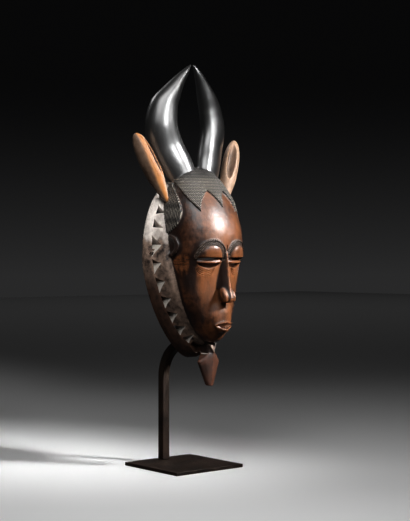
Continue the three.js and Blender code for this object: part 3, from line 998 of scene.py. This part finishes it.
def tones(places, normals, outward, shut, is_zone):
    """How light each vertex is between its zone's two colours: patina and painted shade on the face's sides
    and the ears, painted light on the beard's facets.
    """
    x, _, z = places.T
    tone = np.full(len(places), 0.5)
    # Darker on the face's sides and nose walls, most on the -X side: dark patina and painted shade.
    stain_and_shade = smooth_step(np.abs(normals[:, 0]), 0.45, 0.8) * np.where(x < 0, 1.1, 0.4)
    stain_and_shade *= np.maximum(smooth_step(np.abs(x), 18, 28), (np.abs(x) < 9) * (z > NOSE_BASE + 2))
    # Painted shade on the ears' outer sides, most on the -X side.
    shaded = smooth_step(outward, 0.5, 0.75) * np.where(x < 0, 0.6, 0.1)
    # Painted light: the beard's facets that face +X are lighter.
    painted_facet_light = 0.15 + 0.7 * smooth_step(normals[:, 0], -0.3, 0.3)
    # The ears are also darker where they are shut in: dark patina and painted shade.
    for name, values in (("face", tone - stain_and_shade), ("leaf", 0.95 - 2.5 * shut - shaded), ("beard", painted_facet_light)):
        tone = np.where(is_zone[name], values, tone)
    return tone


def hair_lay(places):
    """How far across and along the strands of hair each place lies."""
    x, y, z = places.T
    turn = np.arctan2(x, -(y - HEAD_AXIS))
    on_temple = np.abs(x) > TEMPLE_SIDE
    across = np.abs(turn) * 48 + np.where(on_temple, 0.12, 0.95) * z
    return np.stack([across, z * np.where(on_temple, 0.25, 1.15), turn], 1) * MM


def paint(mesh, trees, cutters):
    """Gives every vertex its zone's colours and finish, and how worn and recessed it is."""
    places, normals = np.empty((2, len(mesh.vertices) * 3))
    mesh.vertices.foreach_get("co", places)
    mesh.vertex_normals.foreach_get("vector", normals)
    places, normals = places.reshape(-1, 3), normals.reshape(-1, 3)
    x, _, z = places.T
    zone = nearest_zones(places, trees)
    is_zone = {name: zone == row for row, name in enumerate(ZONES)}
    darks, lights, rough, polish = (np.array(column)[zone] for column in zip(*ZONES.values()))
    links = edge_links(mesh)
    proud = proud_marks(places, normals, links)
    shut = shut_marks(mesh, places, normals, links)
    outward = np.abs(normals[:, 0]) * np.sign(x * normals[:, 0])
    stain_and_light_collar(darks, lights, places, is_zone["collar"])
    stain_and_shade_near_leaf(darks, lights, outward, is_zone["leaf"] * (x < 0))
    hatch = is_zone["hair"] * (0.3 + 0.7 * smooth_step(-z, -345, -335)) + is_zone["brow"] * 0.35

    def store(name, kind, key, values, domain="POINT"):
        attribute = mesh.attributes.new(name, kind, domain)
        attribute.data.foreach_set(key, np.ascontiguousarray(values, dtype=np.float32).ravel())

    ones = np.ones((len(places), 1))
    store("dark_tone", "FLOAT_COLOR", "color", np.hstack([darks, ones]))
    store("light_tone", "FLOAT_COLOR", "color", np.hstack([lights, ones]))
    for name, values in (
        ("tone", tones(places, normals, outward, shut, is_zone)),
        ("rough", rough),
        ("polish", polish),
        ("worn", smooth_step(proud, 0.02, 0.35)),
        # The recess mark drives the grime and painted shade in the material.
        ("recess", smooth_step(shut, 0.12, 0.7)),
        ("hatch", hatch),
    ):
        store(name, "FLOAT", "value", values)
    store("lay", "FLOAT_VECTOR", "vector", hair_lay(places))
    store("raw_and_lit", "FLOAT", "value", cut_faces(mesh, cutters), "FACE")


# Materials.


class Nodes:
    """Places and joins the nodes of a material or the background."""

    def __init__(self, tree):
        self.tree = tree

    def feed(self, node, inputs):
        """Joins a socket to each named input, or sets the input to a plain value."""
        for key, value in inputs.items():
            if isinstance(value, bpy.types.NodeSocket):
                self.tree.links.new(value, node.inputs[key])
            else:
                node.inputs[key].default_value = value
        return node

    def add(self, kind, inputs=None, **settings):
        node = self.tree.nodes.new(kind)
        for key, value in settings.items():
            setattr(node, key, value)
        return self.feed(node, inputs or {})

    def math(self, operation, *values, clamp=False):
        inputs = dict(enumerate(values))
        return self.add("ShaderNodeMath", inputs, operation=operation, use_clamp=clamp).outputs[0]

    def plus(self, *values, clamp=False):
        return self.math("ADD", *values, clamp=clamp)

    def times(self, *values, clamp=False):
        return self.math("MULTIPLY", *values, clamp=clamp)

    def attribute(self, name, output="Fac"):
        return self.add("ShaderNodeAttribute", attribute_name=name, attribute_type="GEOMETRY").outputs[output]

    def mix(self, factor, first, second, blend="MIX"):
        node = self.add("ShaderNodeMix", data_type="RGBA", blend_type=blend)
        return self.feed(node, {0: factor, 6: first, 7: second}).outputs[2]

    def noise(self, vector, scale, detail, roughness=0.55):
        inputs = {"Vector": vector, "Scale": scale, "Detail": detail, "Roughness": roughness}
        return self.add("ShaderNodeTexNoise", inputs).outputs["Fac"]

    def remap(self, value, low, high, start=0.0, end=1.0):
        inputs = {"Value": value, "From Min": low, "From Max": high, "To Min": start, "To Max": end}
        return self.add("ShaderNodeMapRange", inputs).outputs["Result"]

    def scaled(self, vector, scale):
        return self.add("ShaderNodeMapping", {"Vector": vector, "Scale": scale}).outputs["Vector"]

    def bump(self, height, strength):
        inputs = {"Height": height, "Strength": strength, "Distance": 1.0}
        return self.add("ShaderNodeBump", inputs).outputs["Normal"]


def new_material(name):
    material = bpy.data.materials.new(name)
    material.use_nodes = True
    return material, Nodes(material.node_tree), material.node_tree.nodes["Principled BSDF"]


def carved_wood():
    """Stained wood: patchy colour, bare worn edges, grime and painted shade in the hollows, fresh cuts with
    painted light, hatched hair.
    """
    material, nodes, shader = new_material("carved_wood")
    place = nodes.add("ShaderNodeTexCoord").outputs["Object"]
    fibre = nodes.noise(nodes.scaled(place, (1, 1, 0.09)), 900, 3)
    pores = nodes.noise(nodes.scaled(place, (1, 1, 0.2)), 2200, 2)
    fibres = nodes.plus(nodes.times(fibre, 0.7), nodes.times(pores, 0.3))
    patches = nodes.remap(nodes.noise(nodes.scaled(place, (1, 1, 0.45)), 38, 6, 0.62), 0.3, 0.7)
    dark, light = nodes.attribute("dark_tone", "Color"), nodes.attribute("light_tone", "Color")
    finish, recess = nodes.attribute("rough"), nodes.attribute("recess")
    scuffs = nodes.noise(place, 160, 5, 0.65)

    mottle = nodes.remap(finish, 0.45, 0.6, 0.15, 0.9)
    mottle = nodes.times(nodes.remap(scuffs, 0.3, 0.7, -0.5, 0.5), mottle)
    share = nodes.plus(nodes.attribute("tone"), nodes.remap(patches, 0, 1, -0.5, 0.5))
    body = nodes.mix(nodes.plus(share, mottle, clamp=True), dark, light)
    bare = nodes.times(nodes.attribute("worn"), nodes.remap(scuffs, 0.35, 0.65), clamp=True)
    lighter = nodes.mix(1.0, light, (1.5, 1.45, 1.4, 1), "MULTIPLY")
    body = nodes.mix(nodes.times(bare, 0.75), body, lighter)
    body = nodes.mix(nodes.remap(fibres, 0.35, 0.7, 0.0, 0.25), body, dark)
    # Fresh cuts: pale bare wood, with painted light on the walls that look up.
    fresh_and_lit = nodes.mix(nodes.remap(fibres, 0.3, 0.7), (0.62, 0.52, 0.42, 1), (0.92, 0.87, 0.8, 1))
    body = nodes.mix(nodes.attribute("raw_and_lit"), body, fresh_and_lit)
    # Grime and painted shade: darker in the recesses.
    grime_and_shade = nodes.times(recess, nodes.remap(scuffs, 0.2, 0.6, 0.6, 1.0))
    body = nodes.mix(nodes.times(grime_and_shade, 0.85), body, (0.008, 0.006, 0.005, 1))

    lay = nodes.add("ShaderNodeSeparateXYZ", {"Vector": nodes.attribute("lay", "Vector")})
    wander = nodes.plus(lay.outputs["X"], nodes.times(scuffs, 0.001))
    stroke = nodes.math("SINE", nodes.times(wander, math.tau / 0.0025))
    breaks = nodes.math("SINE", nodes.times(lay.outputs["Y"], math.tau / 0.0041))
    weave = nodes.times(stroke, nodes.remap(breaks, -1, 0.2, 0.3, 1))
    weave = nodes.times(weave, nodes.attribute("hatch"))
    body = nodes.mix(nodes.remap(weave, 0.1, 0.7, 0.0, 0.8), body, (0.3, 0.26, 0.21, 1))

    height = nodes.plus(nodes.times(fibres, 0.00025), nodes.times(weave, 0.0004))
    dents = nodes.times(nodes.noise(place, 70, 3, 0.5), 0.0011)
    rough = nodes.plus(finish, nodes.remap(scuffs, 0.3, 0.7, -0.08, 0.12))
    nodes.feed(shader, {
        "Base Color": body,
        "Roughness": nodes.plus(rough, nodes.times(recess, 0.25), clamp=True),
        "Normal": nodes.bump(nodes.plus(height, dents), 0.8),
        "Coat Weight": nodes.attribute("polish"),
        "Coat Roughness": 0.3,
        "Coat IOR": 2.0,
    })
    return material


def patinated_steel():
    """Dark patinated steel with browner clouds and specks."""
    material, nodes, shader = new_material("patinated_steel")
    place = nodes.add("ShaderNodeTexCoord").outputs["Object"]
    cloud = nodes.noise(place, 45, 6, 0.6)
    speck = nodes.noise(place, 420, 3, 0.6)
    body = nodes.mix(nodes.remap(cloud, 0.35, 0.65), (0.01, 0.0075, 0.0065, 1), (0.045, 0.028, 0.02, 1))
    body = nodes.mix(nodes.remap(speck, 0.55, 0.75, 0, 0.5), body, (0.09, 0.05, 0.032, 1))
    rough = nodes.plus(nodes.remap(cloud, 0.3, 0.7, 0.34, 0.5), nodes.remap(speck, 0.4, 0.7, 0, 0.1))
    normal = nodes.bump(nodes.times(speck, 0.0002), 0.6)
    nodes.feed(shader, {"Base Color": body, "Roughness": rough, "Normal": normal, "Metallic": 0.55})
    return material


# The stand.


def stand_post():
    """A square bar run up from the plate, bent forward behind the beard and up again inside the mask."""
    foot = PLATE_THICKNESS + FIT_GAP
    form = block((BAR_SIDE, BAR_SIDE, BAR_BEND_START - foot), (0, BAR_BACK, (BAR_BEND_START + foot) / 2))

    def new_end(end, run):
        """The face the run ends in. The one it starts from would lie inside the bar and is taken out."""
        bmesh.ops.delete(form, geom=end, context="FACES_ONLY")
        return [item for item in run if isinstance(item, bmesh.types.BMFace)]

    def straight(end, vector):
        return new_end(end, pushed(form, end, vector))

    def bent(end, centre, axis):
        run = bmesh.ops.spin(form, geom=end, cent=centre, axis=axis, angle=BAR_LEAN, steps=24)["geom_last"]
        return new_end(end, run)

    end = [max(form.faces, key=lambda face: face.calc_center_median().z)]
    end = bent(end, (0, BAR_BACK - BAR_BEND_RADIUS, BAR_BEND_START), (1, 0, 0))
    end = straight(end, Vector((0, -math.sin(BAR_LEAN), math.cos(BAR_LEAN))) * BAR_LEAN_LENGTH)
    inner = Vector((0, math.cos(BAR_LEAN), math.sin(BAR_LEAN))) * BAR_INNER_RADIUS
    end = bent(end, end[0].calc_center_median() + inner, (-1, 0, 0))
    straight(end, (0, 0, CEILING - FIT_GAP - end[0].calc_center_median().z))
    return faced_out(form)


def rounded(form, width):
    edges = [edge for edge in form.edges if edge.calc_face_angle(0) > EDGE_ANGLE]
    bmesh.ops.bevel(form, geom=edges, offset=width, affect="EDGES", segments=3, profile=0.5, material=-1)
    return form


def base_plate():
    return rounded(block((PLATE_SIDE, PLATE_SIDE, PLATE_THICKNESS), (0, 0, PLATE_THICKNESS / 2)), 0.5)


def finish_piece(item, name, node, material):
    """Names the piece, makes it metres, shades it smooth but for sharp edges, and sets it in the frame."""
    item.name = name
    item.data.transform(Matrix.Scale(MM, 4))
    item.data.materials.clear()
    item.data.materials.append(material)
    form = bmesh.new()
    form.from_mesh(item.data)
    for face in form.faces:
        face.smooth = True
    for edge in form.edges:
        edge.smooth = edge.calc_face_angle(0) < SMOOTH_ANGLE
    form.to_mesh(item.data)
    form.free()
    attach(item, ROOT)
    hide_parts(node)


def build():
    item, crisp_tools, trees, cutters = carve()
    worked(item, crisp_tools)
    paint(item.data, trees, cutters)
    finish_piece(item, "mask_carving", "mask", carved_wood())
    steel = patinated_steel()
    finish_piece(solid(rounded(stand_post(), 0.8)), "stand_bar", "stand_post", steel)
    finish_piece(solid(base_plate()), "stand_plate", "base_plate", steel)


build()


# The studio, in metres. A light has a direction and distance from the place it is aimed at, that place,
# a size, a power and a spread in degrees.

SOFTBOXES = {
    "key": ((0.4, -0.74, 0.565), 1.3, (0, -0.04, 0.22), (0.2, 0.2), 0.62, 20),
    "strip": ((-0.08, -0.97, 0.3), 1.3, (0, -0.04, 0.47), (0.5, 0.25), 0.27, 16),
    "fill": ((-0.6, -0.55, 0.62), 1.3, (0, -0.04, 0.19), (0.5, 0.5), 0.045, 30),
    "rim": ((-0.25, 0.9, 0.8), 1.3, (0, -0.04, 0.33), (0.6, 0.25), 0.4, 90),
    "top": ((0, -0.1, 1), 1.3, (0, -0.04, 0.1), (1.2, 1.2), 0.3, 180),
    "front": ((-0.15, -0.2, 0.75), 0.7906, (-0.2, -0.25, 0), (0.5, 0.5), 1.9, 110),
    "floor": ((0, 0, 1), 3.5, (3.2, 3.9, 0), (6, 6), 4.6, 150),
}
FLOOR_HALF_SIDE = 6
CAMERA_PLACE = (-0.925, -1.154, 0.245)
CAMERA_YAW = math.radians(-39.7)
DARK_AIR = (0.0023, 0.0023, 0.0024, 1)
LOW_GLOW = (0.0213, 0.0213, 0.0216, 1)


def paper_floor():
    form = bmesh.new()
    bmesh.ops.create_grid(form, x_segments=1, y_segments=1, size=FLOOR_HALF_SIDE)
    floor = solid(form, "floor")
    material, nodes, shader = new_material("floor_paper")
    nodes.feed(shader, {"Base Color": (0.8, 0.8, 0.8, 1), "Roughness": 0.8})
    floor.data.materials.append(material)
    floor.visible_diffuse = False
    floor.visible_glossy = False


def studio_camera():
    camera = bpy.data.objects.new("camera", bpy.data.cameras.new("camera"))
    camera.data.sensor_fit = "VERTICAL"
    camera.data.sensor_height = 36
    camera.data.lens = 85.8
    camera.location = CAMERA_PLACE
    camera.rotation_euler = (math.pi / 2, 0, CAMERA_YAW)
    bpy.context.scene.collection.objects.link(camera)
    bpy.context.scene.camera = camera


def studio_lights():
    for name, (direction, distance, aim, size, power, spread) in SOFTBOXES.items():
        light = bpy.data.lights.new(name + "_softbox", "AREA")
        light.shape = "RECTANGLE"
        light.size, light.size_y = size
        light.energy = power
        light.spread = math.radians(spread)
        item = bpy.data.objects.new(light.name, light)
        item.location = Vector(aim) + Vector(direction).normalized() * distance
        item.rotation_euler = (Vector(aim) - item.location).to_track_quat("-Z", "Y").to_euler()
        bpy.context.scene.collection.objects.link(item)


def dusky_background():
    """Dark air above, a faint glow at the height of the eye."""
    world = bpy.data.worlds.new("studio")
    world.use_nodes = True
    nodes = Nodes(world.node_tree)
    view = nodes.add("ShaderNodeTexCoord").outputs["Generated"]
    up = nodes.add("ShaderNodeSeparateXYZ", {"Vector": view}).outputs["Z"]
    height = nodes.remap(up, 0.15, -0.012)
    dusk = nodes.mix(nodes.times(height, height), DARK_AIR, LOW_GLOW)
    nodes.feed(world.node_tree.nodes["Background"], {"Color": dusk})
    bpy.context.scene.world = world
    bpy.context.scene.view_settings.view_transform = "Standard"


paper_floor()
studio_camera()
studio_lights()
dusky_background()
